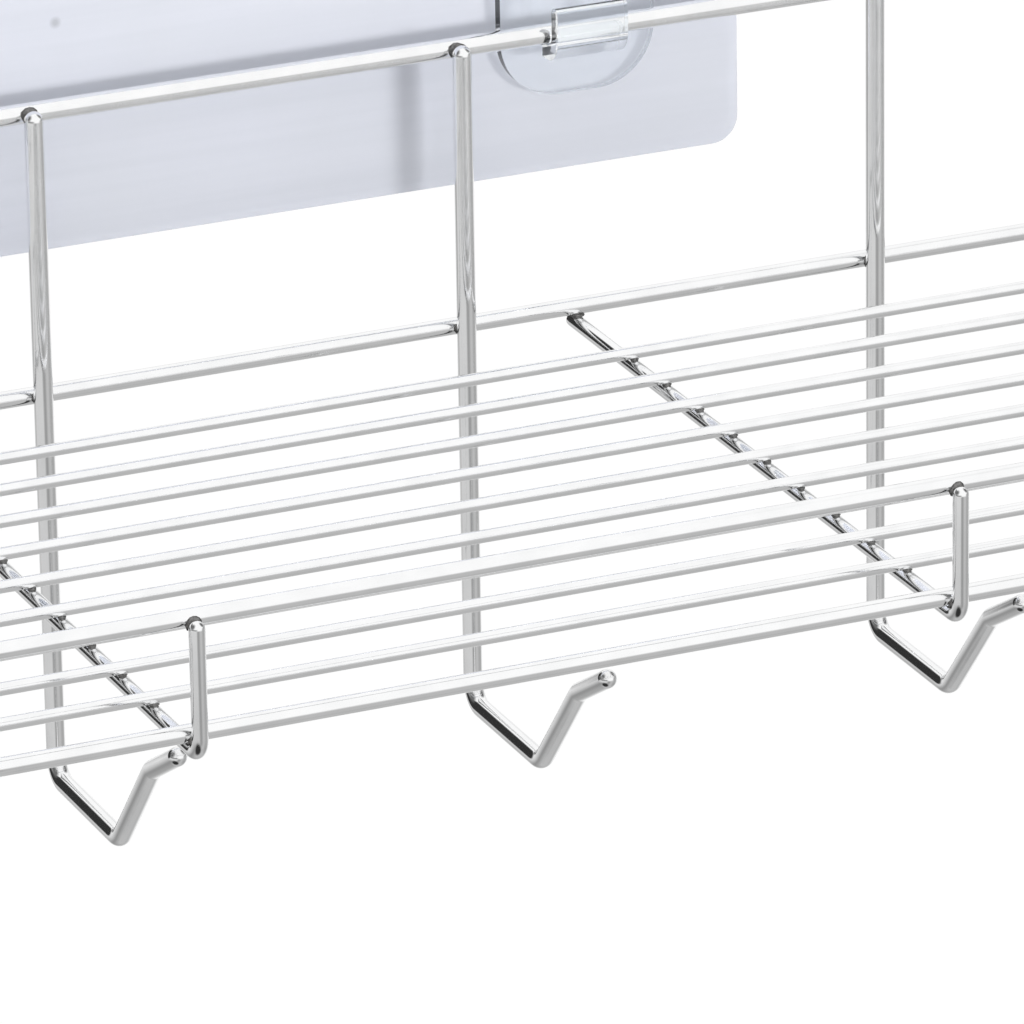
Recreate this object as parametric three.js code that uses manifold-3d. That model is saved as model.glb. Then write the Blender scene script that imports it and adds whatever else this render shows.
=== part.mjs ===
// Wall spice rack: a welded wire tray with a row of utensil hooks below it. Its top rail hangs in
// clear moulded hooks, which sit on two adhesive film pads. Millimetres, +Z up. The wall is the
// plane y = 0 and the tray stands in front of it, towards -Y. The origin lies on the wall, midway
// along the rack, at the height of the top rail's axis.

import * as THREE from "three";
import { mergeVertices } from "three/addons/utils/BufferGeometryUtils.js";
import Module from "manifold-3d";

const wasm = await Module();
wasm.setup();

// Tray
const TRAY_LENGTH = 520; // along the wall, outside to outside
const TRAY_DEPTH = 124; // back rail to front rail of the rim, axis to axis
const TOP_RAIL_HEIGHT = 42; // top rail above the rim, axis to axis
const GUARD_HEIGHT = 16; // guard rail above the rim, axis to axis
const CORNER_RADIUS = 12; // corners of the rim and of the guard rail, on the axis
const TOP_BEND_RADIUS = 10; // top rail into its end legs, on the axis
const LEG_FROM_CORNER = 5; // end leg of the top rail, in from the rim's corner

// Wire diameters
const TOP_RAIL_WIRE = 3;
const HOOK_WIRE = 2.8;
const RIM_WIRE = 2.5;
const GUARD_WIRE = 2.5;
const CROSS_WIRE = 2.2;
const SHELF_WIRE = 1.8;
const WELD_GAP = 0.1; // left between two wires that are welded where they cross

// Shelf wires, which run along the wall
const SHELF_WIRES = 9;
const SHELF_BACK_GAP = 20.4; // back rail to the first shelf wire, axis to axis
const SHELF_FRONT_GAP = 14; // last shelf wire to the front rail, axis to axis

// Cross wires, which carry the shelf wires and turn up in front as posts for the guard rail
const CROSS_WIRES = 5;
const CROSS_END_MARGIN = 42; // end of the tray to the outer cross wires
const POST_RISE = 0.4; // round end of a post above the guard rail's axis

// Hook wires, each bent in one piece from the top rail down to its utensil hook
const HOOK_WIRES = 7;
const HOOK_END_MARGIN = 65; // end of the tray to the outer hook wires
const HOOK_RISE = 1.2; // round upper end above the top rail's axis
const HOOK_DROP = 57.5; // rim to the hook's level leg, axis to axis
const HOOK_LEG = 25; // upright to the hook's corner, axis to axis
const HOOK_TIP = 20.8;
const HOOK_TIP_ANGLE = 49.5; // degrees above level
const HOOK_LIP = 11.5;
const HOOK_LIP_ANGLE = 30; // degrees above level
const HOOK_BEND_RADIUS = 3.5; // on the axis

// Adhesive pads
const PAD_WIDTH = 161;
const PAD_HEIGHT = 60;
const PAD_CORNER_RADIUS = 4;
const PAD_BELOW_RAIL = 22; // lower edge below the top rail's axis
const PAD_END_MARGIN = 15; // end of the tray to the outer edge of the pad
const FILM_THICKNESS = 0.5;
const ADHESIVE_THICKNESS = 0.8;
const ADHESIVE_INSET = 1; // film beyond the edge of its adhesive layer

// Clear moulded hooks, two on each pad
const CLEAR_HOOK_SPACING = 109;
const PLATE_WIDTH = 24;
const PLATE_HEIGHT = 33;
const PLATE_BELOW_RAIL = 10; // lower edge below the top rail's axis
const PLATE_CORNER_RADIUS = 9;
const PLATE_THICKNESS = 1.8;
const TONGUE_WIDTH = 11;
const TONGUE_WALL = 2.2;
const TONGUE_RISE = 4.5; // tip above the top rail's axis
const SEAT_CLEARANCE = 0.2; // top rail to its seat, all round

// Fineness of the facets
const WIRE_SIDES = 12; // a multiple of four, so that a wire has its full diameter along the axes
const BEND_STEP = THREE.MathUtils.degToRad(18);
const CORNER_SEGMENTS = 6; // along each rounded corner of a flat outline
const DOME_RINGS = 8; // pole to pole on the ball that rounds off a wire's end

// Places across the wall, from the wall forwards
const filmBackY = -ADHESIVE_THICKNESS;
const plateBackY = filmBackY - FILM_THICKNESS;
const plateFrontY = plateBackY - PLATE_THICKNESS;
const topRailY = plateFrontY - SEAT_CLEARANCE - TOP_RAIL_WIRE / 2;
const weldPlaneY = topRailY - TOP_RAIL_WIRE / 2; // front of every back rail
const hookY = weldPlaneY - WELD_GAP - HOOK_WIRE / 2;
const rimBackY = weldPlaneY + RIM_WIRE / 2;
const rimFrontY = rimBackY - TRAY_DEPTH;
const guardBackY = weldPlaneY + GUARD_WIRE / 2;
const guardFrontY = rimFrontY - RIM_WIRE / 2 + GUARD_WIRE / 2;
const postY = rimFrontY - RIM_WIRE / 2 - WELD_GAP - CROSS_WIRE / 2;

// Heights, from the top rail's axis down
const rimZ = -TOP_RAIL_HEIGHT;
const guardZ = rimZ + GUARD_HEIGHT;
const crossZ = rimZ - RIM_WIRE / 2 - WELD_GAP - CROSS_WIRE / 2;
const shelfZ = crossZ + CROSS_WIRE / 2 + WELD_GAP + SHELF_WIRE / 2;
const hookLegZ = rimZ - HOOK_DROP;

// Places along the wall, from the middle of the rack
const rimEndX = TRAY_LENGTH / 2 - RIM_WIRE / 2;
const guardEndX = TRAY_LENGTH / 2 - GUARD_WIRE / 2;
const legX = rimEndX - CORNER_RADIUS - LEG_FROM_CORNER;
const padX = TRAY_LENGTH / 2 - PAD_END_MARGIN - PAD_WIDTH / 2;

// The set of cross wires is moved sideways by one wire, so the middle one passes the middle hook wire
const crossShift = -(HOOK_WIRE / 2 + WELD_GAP + CROSS_WIRE / 2);

// A colour and finish of its own for each mesh
function steel() {
  return new THREE.MeshStandardMaterial({ color: 0xd3d5d8, roughness: 0.18, metalness: 1 });
}

function film() {
  return new THREE.MeshStandardMaterial({
    color: 0xdde0ec,
    roughness: 0.15,
    metalness: 0,
    transparent: true,
    opacity: 0.7,
  });
}

function adhesive() {
  return new THREE.MeshStandardMaterial({ color: 0xd2d6df, roughness: 0.5, metalness: 0 });
}

function clearPlastic() {
  return new THREE.MeshStandardMaterial({
    color: 0xeef2f7,
    roughness: 0.06,
    metalness: 0,
    transparent: true,
    opacity: 0.4,
  });
}

// The middle line of a wire, as stations that each hold a point and the direction of travel there
class WirePath extends THREE.Curve {
  constructor(stations) {
    super();
    this.stations = stations;
  }

  station(u) {
    return this.stations[Math.round(u * this.steps)];
  }

  get steps() {
    return this.stations.length - 1;
  }

  getPointAt(u, target = new THREE.Vector3()) {
    return target.copy(this.station(u).point);
  }

  getTangentAt(u, target = new THREE.Vector3()) {
    return target.copy(this.station(u).direction);
  }
}

function directionBetween(from, to) {
  return to.clone().sub(from).normalize();
}

// The stations of a round bend at a corner between two straight runs
function bend(before, corner, after, radius) {
  const inbound = directionBetween(before, corner);
  const outbound = directionBetween(corner, after);
  const turn = inbound.angleTo(outbound);
  const inside = outbound.clone().addScaledVector(inbound, -inbound.dot(outbound)).normalize();
  const start = corner.clone().addScaledVector(inbound, -radius * Math.tan(turn / 2));
  const steps = Math.ceil(turn / BEND_STEP);
  return Array.from({ length: steps + 1 }, (_, i) => {
    const angle = (turn * i) / steps;
    const ahead = radius * Math.sin(angle);
    const aside = radius * (1 - Math.cos(angle));
    return {
      point: start.clone().addScaledVector(inbound, ahead).addScaledVector(inside, aside),
      direction: inbound
        .clone()
        .multiplyScalar(Math.cos(angle))
        .addScaledVector(inside, Math.sin(angle)),
    };
  });
}

// A path with two free ends, through corners that are all rounded to one radius
function openPath(points, radius) {
  const last = points.length - 1;
  const stations = [{ point: points[0], direction: directionBetween(points[0], points[1]) }];
  for (let i = 1; i < last; i++) {
    stations.push(...bend(points[i - 1], points[i], points[i + 1], radius));
  }
  stations.push({ point: points[last], direction: directionBetween(points[last - 1], points[last]) });
  return new WirePath(stations);
}

// A path that closes on itself
function closedPath(points, radius) {
  const count = points.length;
  const stations = points.flatMap((corner, i) =>
    bend(points[(i + count - 1) % count], corner, points[(i + 1) % count], radius),
  );
  return new WirePath([...stations, stations[0]]);
}

// A wire with flat cut ends
function wireGeometry(path, diameter) {
  const section = Array.from({ length: WIRE_SIDES }, (_, i) => {
    const angle = (2 * Math.PI * i) / WIRE_SIDES;
    return new THREE.Vector2(Math.cos(angle), Math.sin(angle)).multiplyScalar(diameter / 2);
  });
  return new THREE.ExtrudeGeometry(new THREE.Shape(section), {
    steps: path.steps,
    extrudePath: path,
    bevelEnabled: false,
  });
}

// A wire welded into a ring
function ringGeometry(path, diameter) {
  return new THREE.TubeGeometry(path, path.steps, diameter / 2, WIRE_SIDES, true);
}

// A closed geometry as a solid that can be joined to another
function solidFrom(geometry) {
  const bare = new THREE.BufferGeometry();
  bare.setAttribute("position", geometry.getAttribute("position"));
  bare.setIndex(geometry.index);
  const merged = mergeVertices(bare);
  return new wasm.Manifold(
    new wasm.Mesh({
      numProp: 3,
      vertProperties: new Float32Array(merged.getAttribute("position").array),
      triVerts: new Uint32Array(merged.index.array),
    }),
  );
}

function join(first, second) {
  const mesh = solidFrom(first).add(solidFrom(second)).getMesh();
  const geometry = new THREE.BufferGeometry();
  geometry.setAttribute("position", new THREE.BufferAttribute(mesh.vertProperties, 3));
  geometry.setIndex(new THREE.BufferAttribute(mesh.triVerts, 1));
  geometry.computeVertexNormals();
  return geometry;
}

// A wire with one end rounded off by a ball, whose pole points the way the wire ends
function roundOff(wire, end, direction, diameter) {
  const ball = new THREE.SphereGeometry(diameter / 2, WIRE_SIDES, DOME_RINGS);
  const pole = new THREE.Vector3(0, 1, 0);
  ball.applyQuaternion(new THREE.Quaternion().setFromUnitVectors(pole, direction));
  ball.translate(end.x, end.y, end.z);
  return join(wire, ball);
}

// An upright plate with round corners, centred on the origin, with its back on y = 0
function plateGeometry(width, height, cornerRadius, thickness) {
  const x = width / 2 - cornerRadius;
  const z = height / 2 - cornerRadius;
  const quarter = Math.PI / 2;
  const outline = new THREE.Shape();
  outline.absarc(x, z, cornerRadius, 0, quarter);
  outline.absarc(-x, z, cornerRadius, quarter, 2 * quarter);
  outline.absarc(-x, -z, cornerRadius, 2 * quarter, 3 * quarter);
  outline.absarc(x, -z, cornerRadius, 3 * quarter, 4 * quarter);
  outline.closePath();
  const geometry = new THREE.ExtrudeGeometry(outline, {
    depth: thickness,
    curveSegments: CORNER_SEGMENTS,
    bevelEnabled: false,
  });
  return geometry.rotateX(quarter);
}

// The rounded rectangle of front, back and end rails that the shelf lies in
function shelfRim() {
  const corners = [
    new THREE.Vector3(-rimEndX, rimBackY, rimZ),
    new THREE.Vector3(-rimEndX, rimFrontY, rimZ),
    new THREE.Vector3(rimEndX, rimFrontY, rimZ),
    new THREE.Vector3(rimEndX, rimBackY, rimZ),
  ];
  return ringGeometry(closedPath(corners, CORNER_RADIUS), RIM_WIRE);
}

// The rail that hangs in the clear hooks, bent down at both ends onto the back of the rim
function backTopRail() {
  const footZ = rimZ + RIM_WIRE / 2 + WELD_GAP;
  const corners = [
    new THREE.Vector3(-legX, topRailY, footZ),
    new THREE.Vector3(-legX, topRailY, 0),
    new THREE.Vector3(legX, topRailY, 0),
    new THREE.Vector3(legX, topRailY, footZ),
  ];
  return wireGeometry(openPath(corners, TOP_BEND_RADIUS), TOP_RAIL_WIRE);
}

// The rail round the front and ends of the tray, which meets the legs of the top rail at the back
function guardRail() {
  const stubX = legX + TOP_RAIL_WIRE / 2 + WELD_GAP;
  const corners = [
    new THREE.Vector3(-stubX, guardBackY, guardZ),
    new THREE.Vector3(-guardEndX, guardBackY, guardZ),
    new THREE.Vector3(-guardEndX, guardFrontY, guardZ),
    new THREE.Vector3(guardEndX, guardFrontY, guardZ),
    new THREE.Vector3(guardEndX, guardBackY, guardZ),
    new THREE.Vector3(stubX, guardBackY, guardZ),
  ];
  return wireGeometry(openPath(corners, CORNER_RADIUS), GUARD_WIRE);
}

// A straight wire between the end rails of the rim
function shelfWire() {
  const endX = rimEndX - RIM_WIRE / 2 - WELD_GAP;
  const ends = [new THREE.Vector3(-endX, 0, 0), new THREE.Vector3(endX, 0, 0)];
  return wireGeometry(openPath(ends, 0), SHELF_WIRE);
}

// A wire under the shelf from the back rail to the front rail, which it hugs as it turns up to a post
function crossWire() {
  const postTop = new THREE.Vector3(0, postY, guardZ + POST_RISE - CROSS_WIRE / 2);
  const corners = [
    new THREE.Vector3(0, rimBackY + RIM_WIRE / 2, crossZ),
    new THREE.Vector3(0, postY, crossZ),
    postTop,
  ];
  const wire = wireGeometry(openPath(corners, rimFrontY - postY), CROSS_WIRE);
  return roundOff(wire, postTop, new THREE.Vector3(0, 0, 1), CROSS_WIRE);
}

// An upright in front of both back rails that goes on below the tray as a hook with a turned-out lip
function hookWire() {
  const along = (angle) => {
    const radians = THREE.MathUtils.degToRad(angle);
    return new THREE.Vector3(0, -Math.cos(radians), Math.sin(radians));
  };
  const top = new THREE.Vector3(0, hookY, HOOK_RISE - HOOK_WIRE / 2);
  const corner = new THREE.Vector3(0, hookY - HOOK_LEG, hookLegZ);
  const tip = corner.clone().addScaledVector(along(HOOK_TIP_ANGLE), HOOK_TIP);
  const lipEnd = tip.clone().addScaledVector(along(HOOK_LIP_ANGLE), HOOK_LIP);
  const corners = [
    top,
    new THREE.Vector3(0, hookY, hookLegZ),
    corner,
    tip,
    lipEnd,
  ];
  const wire = wireGeometry(openPath(corners, HOOK_BEND_RADIUS), HOOK_WIRE);
  const withTop = roundOff(wire, top, new THREE.Vector3(0, 0, 1), HOOK_WIRE);
  return roundOff(withTop, lipEnd, along(HOOK_LIP_ANGLE), HOOK_WIRE);
}

// The clear hook's side profile: a seat round the underside of the top rail and a tongue in front of
// it. Its first coordinate runs forwards from the plate, its second up from the rail's axis.
function seatProfile() {
  const seat = TOP_RAIL_WIRE / 2 + SEAT_CLEARANCE;
  const outer = seat + TONGUE_WALL;
  const root = -PLATE_THICKNESS / 2;
  const tipRadius = TONGUE_WALL / 2;
  const tipHeight = TONGUE_RISE - tipRadius;
  const profile = new THREE.Shape();
  profile.moveTo(root, -outer);
  profile.lineTo(seat, -outer);
  profile.absarc(seat, 0, outer, -Math.PI / 2, 0, false);
  profile.absarc(2 * seat + tipRadius, tipHeight, tipRadius, 0, Math.PI, false);
  profile.absarc(seat, 0, seat, 0, -Math.PI, true);
  profile.lineTo(root, 0);
  profile.closePath();
  return profile;
}

// A clear moulding, midway along its tongue at x = 0
function clearHook() {
  const plate = plateGeometry(PLATE_WIDTH, PLATE_HEIGHT, PLATE_CORNER_RADIUS, PLATE_THICKNESS);
  plate.translate(0, plateBackY, PLATE_HEIGHT / 2 - PLATE_BELOW_RAIL);
  const tongue = new THREE.ExtrudeGeometry(seatProfile(), {
    depth: TONGUE_WIDTH,
    curveSegments: CORNER_SEGMENTS,
    bevelEnabled: false,
  });
  const forward = new THREE.Vector3(0, -1, 0);
  const up = new THREE.Vector3(0, 0, 1);
  tongue.applyMatrix4(new THREE.Matrix4().makeBasis(forward, up, forward.clone().cross(up)));
  tongue.translate(TONGUE_WIDTH / 2, plateFrontY, 0);
  return join(plate, tongue);
}

function named(name, geometry, material, x = 0, y = 0, z = 0) {
  const mesh = new THREE.Mesh(geometry, material);
  mesh.name = name;
  mesh.position.set(x, y, z);
  return mesh;
}

// Evenly spread places from one to another, both included
function spread(count, from, to) {
  return Array.from({ length: count }, (_, i) => from + ((to - from) * i) / (count - 1));
}

// A pad of film on its adhesive layer, with the clear hooks stuck to its front
function pad(side, x) {
  const group = new THREE.Group();
  group.position.set(x, 0, 0);
  const middleZ = PAD_HEIGHT / 2 - PAD_BELOW_RAIL;
  group.add(
    named(
      `pad_adhesive_${side}`,
      plateGeometry(
        PAD_WIDTH - 2 * ADHESIVE_INSET,
        PAD_HEIGHT - 2 * ADHESIVE_INSET,
        PAD_CORNER_RADIUS - ADHESIVE_INSET,
        ADHESIVE_THICKNESS,
      ),
      adhesive(),
      0,
      0,
      middleZ,
    ),
    named(
      `pad_film_${side}`,
      plateGeometry(PAD_WIDTH, PAD_HEIGHT, PAD_CORNER_RADIUS, FILM_THICKNESS),
      film(),
      0,
      filmBackY,
      middleZ,
    ),
  );
  const outward = Math.sign(x) * (CLEAR_HOOK_SPACING / 2);
  group.add(named(`clear_hook_${side}_outer`, clearHook(), clearPlastic(), outward));
  group.add(named(`clear_hook_${side}_inner`, clearHook(), clearPlastic(), -outward));
  return group;
}

// The welded wire tray with its hooks
function rack() {
  const group = new THREE.Group();
  group.add(named("shelf_rim", shelfRim(), steel()));
  group.add(named("back_top_rail", backTopRail(), steel()));
  group.add(named("guard_rail", guardRail(), steel()));
  spread(SHELF_WIRES, rimBackY - SHELF_BACK_GAP, rimFrontY + SHELF_FRONT_GAP).forEach((y, i) => {
    group.add(named(`shelf_wire_${i + 1}`, shelfWire(), steel(), 0, y, shelfZ));
  });
  const crossEndX = TRAY_LENGTH / 2 - CROSS_END_MARGIN;
  spread(CROSS_WIRES, -crossEndX, crossEndX).forEach((x, i) => {
    group.add(named(`cross_wire_${i + 1}`, crossWire(), steel(), x + crossShift));
  });
  const hookEndX = TRAY_LENGTH / 2 - HOOK_END_MARGIN;
  spread(HOOK_WIRES, -hookEndX, hookEndX).forEach((x, i) => {
    group.add(named(`hook_wire_${i + 1}`, hookWire(), steel(), x));
  });
  return group;
}

const spiceRack = new THREE.Group();
spiceRack.add(pad("left", -padX), pad("right", padX), rack());

export default spiceRack;
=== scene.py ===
import math

import bmesh
import bpy
import numpy as np
from mathutils import Matrix, Vector


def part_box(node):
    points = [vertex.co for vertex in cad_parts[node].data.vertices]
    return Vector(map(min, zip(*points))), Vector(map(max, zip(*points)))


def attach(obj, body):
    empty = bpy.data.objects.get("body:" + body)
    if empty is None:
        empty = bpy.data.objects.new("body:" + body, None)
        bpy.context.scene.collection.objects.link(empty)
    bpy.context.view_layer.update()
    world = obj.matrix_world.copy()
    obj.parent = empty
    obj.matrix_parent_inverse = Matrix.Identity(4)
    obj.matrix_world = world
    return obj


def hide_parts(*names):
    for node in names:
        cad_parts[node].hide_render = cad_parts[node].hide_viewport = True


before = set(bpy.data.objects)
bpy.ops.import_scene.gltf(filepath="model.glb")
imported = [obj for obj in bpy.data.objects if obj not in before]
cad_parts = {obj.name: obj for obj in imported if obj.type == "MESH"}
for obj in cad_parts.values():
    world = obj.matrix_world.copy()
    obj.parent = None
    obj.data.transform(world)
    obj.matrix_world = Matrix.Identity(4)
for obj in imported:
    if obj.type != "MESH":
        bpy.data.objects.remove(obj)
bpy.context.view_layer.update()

# Directions: along the rack, back to the wall, and up
ALONG = Vector((1, 0, 0))
BACK = Vector((0, 1, 0))
UP = Vector((0, 0, 1))

# Sizes in metres. Wire gauges, lengths and places come from the frame's own boxes.
MM = 0.001
CORNER_RADIUS = 12 * MM  # rim and guard rail, on the axis
TOP_BEND_RADIUS = 10 * MM
HOOK_LEG = 25 * MM
HOOK_TIP = 20.8 * MM
HOOK_TIP_ANGLE = math.radians(49.5)
HOOK_LIP = 11.5 * MM
HOOK_LIP_ANGLE = math.radians(30)
HOOK_BEND_RADIUS = 3.5 * MM
FILM_CORNER_RADIUS = 4 * MM
FILM_EDGE = 0.16 * MM  # rounding of the film's edges
ADHESIVE_CORNER_RADIUS = 3 * MM
ADHESIVE_EDGE = 0.2 * MM
PLATE_CORNER_RADIUS = 9 * MM
PLATE_AIR = 0.05 * MM  # thin line of air between a clear plate and the film
TONGUE_WIDTH = 11 * MM
TONGUE_RISE = 4.5 * MM  # tip above the top rail's axis
SEAT_CLEARANCE = 0.2 * MM
THROAT_START = 0.1 * MM  # in front of a clear plate's face
CLEAR_EDGE = 0.35 * MM  # rounding of the clear plastic's edges
BUBBLE_X = -188.9 * MM  # middle of the largest bubble under the left film
BUBBLE_Z = 11.4 * MM
BUBBLE_CORE = 0.3 * MM
BUBBLE_RADIUS = 1.0 * MM

# Fineness of the meshes
WIRE_SIDES = 28
BEND_STEP = math.radians(5)
RING_SPACING = 18 * MM
WELD_RING_OFFSETS = [0.5 * MM, 1.1 * MM, 1.8 * MM, 2.8 * MM, 4.2 * MM, 6.5 * MM]
KNOT_CLEARANCE = 0.15 * MM  # no ring is added this close to a knot
RING_CLEARANCE = 0.05 * MM  # between any two rings
LENGTH_DIGITS = 7  # decimals of a ring's place along its wire
CUT_CHAMFER = 0.12 * MM
CUT_SHOULDER = 0.3  # second ring of a cut end, as a share of the chamfer
ROUND_END_RINGS = 7
ROUND_END_START = 0.6  # from the pole to the first ring, as a share of a ring's step
SHARP_WIRE_ANGLE = math.radians(50)  # edges that turn more are shaded sharp
SHARP_SHEET_ANGLE = math.radians(60)
PAD_EDGE_ANGLE = math.radians(30)  # edges of the pads that turn more are rounded
CLEAR_EDGE_ANGLE = math.radians(40)
EDGE_SEGMENTS = 3
EDGE_PROFILE = 0.5  # a round one
FLAT_FACE_WEIGHT = 100  # how strongly large flat faces rule the shading
PAD_CORNER_STEPS = 12
PLATE_CORNER_STEPS = 18
TONGUE_STEPS = 14
TONGUE_TIP_STEPS = 10
SEAT_STEPS = 20

# Welds
WELD_GAP = 0.1 * MM  # between wires that are welded
# The weld's heat tint and painted contact shade reach this far along the wire
HEAT_AND_SHADE_REACH = 1.45  # of the wire's radius
SPOT_WELD = 0.78  # size of the weld under a shelf wire, as a share of a full one
FOOT_WELD_DROP = 0.6  # below the front rail's axis, of its radius
BEAD_THICKNESS = 0.34 * MM
BEAD_SPREAD = 0.5  # of the thinner wire's diameter
BEAD_RINGS = 7
BEAD_SIDES = 14
BEAD_LUMPS = [(2, 0.10, 1.0), (3, 0.06, 2.3)]  # how many round a bead, how high, turn from bead to bead


# Places read from the frame

def wire_radius(node, axis):
    """Half of a node's box, along an axis that crosses its wire."""
    low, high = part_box(node)
    return (high[axis] - low[axis]) / 2


def box_middle(node):
    low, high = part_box(node)
    return (low + high) / 2


def nodes_named(prefix):
    return [node for node in sorted(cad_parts) if node.startswith(prefix)]


rim_low, rim_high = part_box("shelf_rim")
guard_low, guard_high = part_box("guard_rail")
top_low, top_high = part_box("back_top_rail")
hook_low, hook_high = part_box("hook_wire_1")
cross_low, cross_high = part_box("cross_wire_1")
rim_radius = wire_radius("shelf_rim", 2)
guard_radius = wire_radius("guard_rail", 2)
top_radius = wire_radius("back_top_rail", 1)
hook_radius = wire_radius("hook_wire_1", 0)
cross_radius = wire_radius("cross_wire_1", 0)
shelf_radius = wire_radius("shelf_wire_1", 2)

rim_z = box_middle("shelf_rim").z
rim_back_y = rim_high.y - rim_radius
rim_front_y = rim_low.y + rim_radius
rim_end_x = rim_high.x - rim_radius
guard_z = box_middle("guard_rail").z
guard_back_y = guard_high.y - guard_radius
guard_front_y = guard_low.y + guard_radius
guard_end_x = guard_high.x - guard_radius
top_y = box_middle("back_top_rail").y
top_z = top_high.z - top_radius
leg_x = top_high.x - top_radius
leg_foot_z = top_low.z
hook_y = hook_high.y - hook_radius
hook_top_z = hook_high.z - hook_radius
hook_leg_z = hook_low.z + hook_radius
cross_back_y = cross_high.y
cross_z = cross_low.z + cross_radius
post_y = cross_low.y + cross_radius
post_top_z = cross_high.z - cross_radius
shelf_z = box_middle("shelf_wire_1").z

hook_nodes = nodes_named("hook_wire_")
cross_nodes = nodes_named("cross_wire_")
shelf_nodes = nodes_named("shelf_wire_")
clear_nodes = nodes_named("clear_hook_")


# Shader helpers

NOISE_ROUGHNESS = 0.55
WHITE = (1.0, 1.0, 1.0)


def new_material(name):
    material = bpy.data.materials.new(name)
    material.use_nodes = True
    return material, material.node_tree, material.node_tree.nodes["Principled BSDF"]


def add_node(tree, kind, values=None, **settings):
    """A new node with its settings made and its sockets filled in."""
    node = tree.nodes.new(kind)
    for key, value in settings.items():
        setattr(node, key, value)
    for socket, value in (values or {}).items():
        node.inputs[socket].default_value = value
    return node


def ramp(tree, source, from_range, to_range):
    """A value moved from one range to another and held at its ends."""
    values = dict(enumerate((*from_range, *to_range), start=1))
    mapped = add_node(tree, "ShaderNodeMapRange", values)
    tree.links.new(source, mapped.inputs[0])
    return mapped.outputs[0]


def math_node(tree, operation, first, second=None):
    """Arithmetic on one or two values, each of which is a number or another node's output."""
    node = add_node(tree, "ShaderNodeMath", operation=operation)
    for socket, value in zip(node.inputs, (first, second)):
        if value is None:
            continue
        if isinstance(value, (int, float)):
            socket.default_value = value
        else:
            tree.links.new(value, socket)
    return node.outputs[0]


def vector_node(tree, operation, source, constant):
    """A vector set against a constant one."""
    node = add_node(tree, "ShaderNodeVectorMath", operation=operation)
    node.inputs[1].default_value = constant
    tree.links.new(source, node.inputs[0])
    return node


def colour_mix(tree, factor, first, second):
    """A mix of two colours, each of which is a tuple or another node's output."""
    mix = add_node(tree, "ShaderNodeMix", data_type="RGBA")
    tree.links.new(factor, mix.inputs[0])
    for socket, value in ((mix.inputs[6], first), (mix.inputs[7], second)):
        if isinstance(value, tuple):
            socket.default_value = (*value, 1.0)
        else:
            tree.links.new(value, socket)
    return mix.outputs[2]


def shader_mix(tree, factor, first, second):
    """Shows a mix of two shaders as the material's surface."""
    mix = add_node(tree, "ShaderNodeMixShader")
    for socket, source in zip(mix.inputs, (factor, first.outputs[0], second.outputs[0])):
        tree.links.new(source, socket)
    tree.links.new(mix.outputs[0], tree.nodes["Material Output"].inputs["Surface"])


def attribute(tree, name, output):
    return add_node(tree, "ShaderNodeAttribute", attribute_name=name).outputs[output]


def object_place(tree):
    return add_node(tree, "ShaderNodeTexCoord").outputs["Object"]


def noise(tree, place, scale, detail):
    values = {"Scale": scale, "Detail": detail, "Roughness": NOISE_ROUGHNESS}
    texture = add_node(tree, "ShaderNodeTexNoise", values)
    tree.links.new(place, texture.inputs["Vector"])
    return texture.outputs["Fac"]


def stretched_noise(tree, place, scales, detail):
    """Noise with a scale of its own for each axis."""
    return noise(tree, vector_node(tree, "MULTIPLY", place, scales).outputs["Vector"], 1.0, detail)


def voronoi_cells(tree, place, scale):
    cells = add_node(tree, "ShaderNodeTexVoronoi", {"Scale": scale})
    tree.links.new(place, cells.inputs["Vector"])
    return cells


def bump(tree, height, strength, distance, after=None):
    node = add_node(tree, "ShaderNodeBump", {"Strength": strength, "Distance": distance})
    tree.links.new(height, node.inputs["Height"])
    if after is not None:
        tree.links.new(after, node.inputs["Normal"])
    return node.outputs["Normal"]


# Materials. A ramp is (from range, to range), a bump is (strength, height), and scales are per metre.

LINES_SCALE = (5200, 5200, 34)  # twice across the wire, then along it
DENTS_SCALE = (320, 320, 95)
SMUDGES_SCALE = (240, 240, 170)
STEEL_CLEAN = (0.975, 0.977, 0.98)
STEEL_SMUDGED = (0.92, 0.924, 0.928)
# Near each weld the wire darkens: partly real heat tint, partly painted shade in the crevice where wires
# meet
STEEL_BURNT_AND_SHADED = (0.10, 0.095, 0.09)
SMUDGED_SHARE = ((0.35, 0.7), (0.0, 1.0))
BURNT_AND_SHADED_SHARE = ((0.1, 0.7), (0.0, 0.95))
LINES_ROUGHNESS = ((0.3, 0.7), (0.06, 0.12))
SMUDGES_ROUGHNESS = ((0.4, 0.75), (0.0, 0.05))
BURNT_ROUGHNESS = 0.2
DENTS_BUMP = (0.10, 0.15 * MM)
LINES_BUMP = (0.05, 0.02 * MM)


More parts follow.
